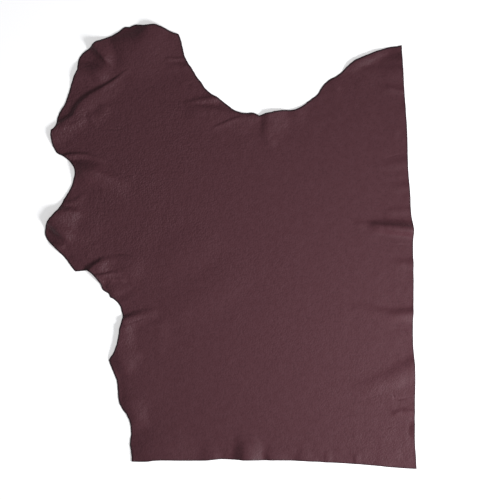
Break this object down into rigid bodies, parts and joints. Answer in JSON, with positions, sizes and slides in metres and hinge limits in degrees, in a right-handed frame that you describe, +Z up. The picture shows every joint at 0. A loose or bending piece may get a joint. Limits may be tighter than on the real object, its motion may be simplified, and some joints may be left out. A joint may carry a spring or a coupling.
{
  "type": "leather hide",
  "caption": "Dyed full-grain leather hide with natural belly and shank edges, knife-cut back and bottom sides and low ripples, laid flat grain side up.",
  "frame": {"origin": "under the middle of the hide's bounding box, on the surface that it lies on", "axes": "+Z up out of the grain side, +Y along the hide's length towards the shank lobe, +X across it towards the straight back cut"},
  "size_m": [0.7009, 0.8379, 0.0108],
  "materials": {
    "grain_leather": "dark oxblood dye, fine pebbled grain, matt with a faint sheen"
  },
  "bodies": {
    "root": {"leather_hide": "grain_leather"}
  },
  "joints": []
}
